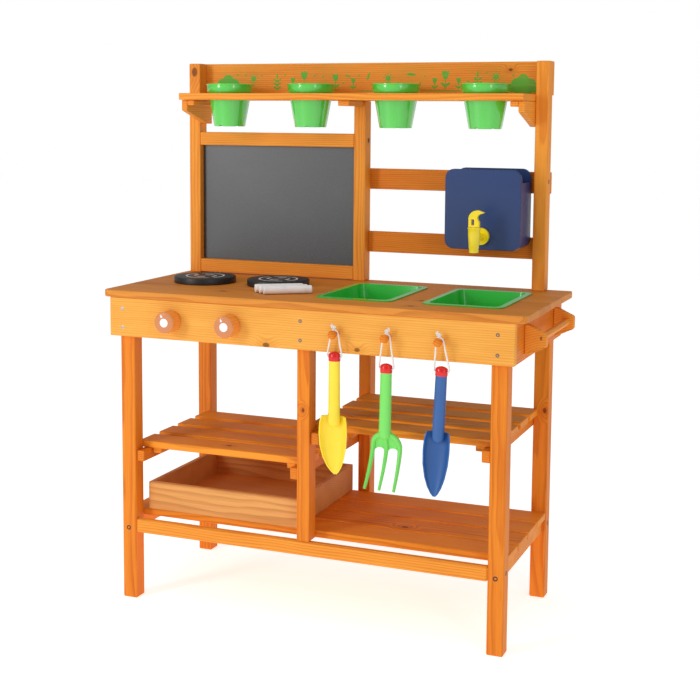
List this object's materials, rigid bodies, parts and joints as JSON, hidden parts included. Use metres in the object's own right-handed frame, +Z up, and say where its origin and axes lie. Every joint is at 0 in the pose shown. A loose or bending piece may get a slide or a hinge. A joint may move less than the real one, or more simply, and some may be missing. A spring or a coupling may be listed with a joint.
{
  "type": "toy potting bench",
  "caption": "Child's wooden potting bench with lift-out sinks, hob plates, knobs, a chalkboard, a water tank with a tap, plant pots on a shelf, a tray and hanging hand tools.",
  "frame": {"origin": "centre of the bounding box at floor level", "axes": "+X to the right along the worktop, +Y from the front to the back, +Z up"},
  "size_m": [0.8756, 0.4228, 1.082],
  "materials": {
    "frame_wood": "stained and sealed softwood, satin",
    "apron_wood": "stained and sealed softwood, satin",
    "shelf_wood": "stained and sealed softwood, satin",
    "tray_wood": "pale softwood, satin",
    "chalkboard": "black chalkboard paint on board, matte",
    "hob_black": "painted black, matte",
    "pot_green": "moulded plastic, glossy",
    "sink_green": "moulded plastic, glossy",
    "tank_navy": "moulded plastic, satin",
    "tap_yellow": "moulded plastic, glossy",
    "tool_yellow": "moulded plastic, glossy",
    "tool_green": "moulded plastic, glossy",
    "tool_blue": "moulded plastic, glossy",
    "chalk_white": "chalk in clear wrap, matte",
    "string_white": "twisted cotton cord, matte"
  },
  "bodies": {
    "bench": {"apron_front": "apron_wood", "apron_left": "apron_wood", "apron_rear": "apron_wood", "apron_right": "apron_wood", "back_rail_lower": "frame_wood", "back_rail_upper": "frame_wood", "bottom_shelf": "shelf_wood", "chalkboard_panel": "chalkboard", "chalkboard_rail_bottom": "frame_wood", "chalkboard_rail_top": "frame_wood", "header_board": "frame_wood", "hob_plate_left": "hob_black", "hob_plate_right": "hob_black", "leg_front_left": "frame_wood", "leg_front_right": "frame_wood", "leg_rear_left": "frame_wood", "leg_rear_right": "frame_wood", "lower_rail_front": "frame_wood", "lower_rail_rear": "frame_wood", "middle_post_front": "frame_wood", "middle_post_rear": "frame_wood", "peg_1": "frame_wood", "peg_2": "frame_wood", "peg_3": "frame_wood", "pot_batten_left": "frame_wood", "pot_batten_middle": "frame_wood", "pot_batten_right": "frame_wood", "pot_bracket_left": "frame_wood", "pot_bracket_right": "frame_wood", "pot_shelf": "frame_wood", "shelf_left": "shelf_wood", "shelf_left_support_left": "frame_wood", "shelf_left_support_right": "frame_wood", "shelf_right": "shelf_wood", "shelf_right_support_left": "frame_wood", "shelf_right_support_right": "frame_wood", "towel_rail": "frame_wood", "upright_left": "frame_wood", "upright_middle": "frame_wood", "upright_right": "frame_wood", "worktop": "apron_wood"},
    "knob_left": {"knob_left": "frame_wood"},
    "knob_right": {"knob_right": "frame_wood"},
    "tank": {"water_tank": "tank_navy", "tap_body": "tap_yellow"},
    "tap_lever": {"tap_lever": "tap_yellow"},
    "sink_left": {"sink_left": "sink_green"},
    "sink_right": {"sink_right": "sink_green"},
    "tray": {"tray": "tray_wood"},
    "chalk_pack": {"chalk_pack": "chalk_white"},
    "yellow_trowel": {"trowel_yellow": "tool_yellow", "string_1": "string_white"},
    "green_fork": {"fork_green": "tool_green", "string_2": "string_white"},
    "blue_trowel": {"trowel_blue": "tool_blue", "string_3": "string_white"},
    "pot_1": {"pot_1": "pot_green"},
    "pot_2": {"pot_2": "pot_green"},
    "pot_3": {"pot_3": "pot_green"},
    "pot_4": {"pot_4": "pot_green"}
  },
  "joints": [
    {"name": "knob_left_turn", "type": "hinge", "parent": "bench", "child": "knob_left", "pos_m": [-0.2848, -0.1871, 0.5745], "axis": [0, -1, 0], "continuous": true},
    {"name": "knob_right_turn", "type": "hinge", "parent": "bench", "child": "knob_right", "pos_m": [-0.1568, -0.1871, 0.5745], "axis": [0, -1, 0], "continuous": true},
    {"name": "yellow_trowel_swing", "type": "hinge", "parent": "bench", "child": "yellow_trowel", "pos_m": [0.0622, -0.1841, 0.5745], "axis": [0, -1, 0], "range_deg": [-9, 9]},
    {"name": "green_fork_swing", "type": "hinge", "parent": "bench", "child": "green_fork", "pos_m": [0.1632, -0.1841, 0.5745], "axis": [0, -1, 0], "range_deg": [-9, 9]},
    {"name": "blue_trowel_swing", "type": "hinge", "parent": "bench", "child": "blue_trowel", "pos_m": [0.2642, -0.1841, 0.5745], "axis": [0, -1, 0], "range_deg": [-9, 9]},
    {"name": "tank_lift", "type": "slide", "parent": "bench", "child": "tank", "axis": [0, 0, 1], "range_m": [0, 0.03]},
    {"name": "tap_lever_turn", "type": "hinge", "parent": "tank", "child": "tap_lever", "pos_m": [0.2549, 0.0509, 0.76], "axis": [0, 0, 1], "range_deg": [-90, 0]},
    {"name": "pot_1_lift", "type": "slide", "parent": "bench", "child": "pot_1", "axis": [0, 0, 1], "range_m": [0, 0.075]},
    {"name": "pot_2_lift", "type": "slide", "parent": "bench", "child": "pot_2", "axis": [0, 0, 1], "range_m": [0, 0.075]},
    {"name": "pot_3_lift", "type": "slide", "parent": "bench", "child": "pot_3", "axis": [0, 0, 1], "range_m": [0, 0.075]},
    {"name": "pot_4_lift", "type": "slide", "parent": "bench", "child": "pot_4", "axis": [0, 0, 1], "range_m": [0, 0.075]},
    {"name": "sink_left_lift", "type": "slide", "parent": "bench", "child": "sink_left", "axis": [0, 0, 1], "range_m": [0, 0.078]},
    {"name": "sink_right_lift", "type": "slide", "parent": "bench", "child": "sink_right", "axis": [0, 0, 1], "range_m": [0, 0.078]},
    {"name": "tray_slide", "type": "slide", "parent": "bench", "child": "tray", "axis": [0, -1, 0], "range_m": [0, 0.25]},
    {"name": "chalk_lift", "type": "slide", "parent": "bench", "child": "chalk_pack", "axis": [0, 0, 1], "range_m": [0, 0.05]}
  ]
}
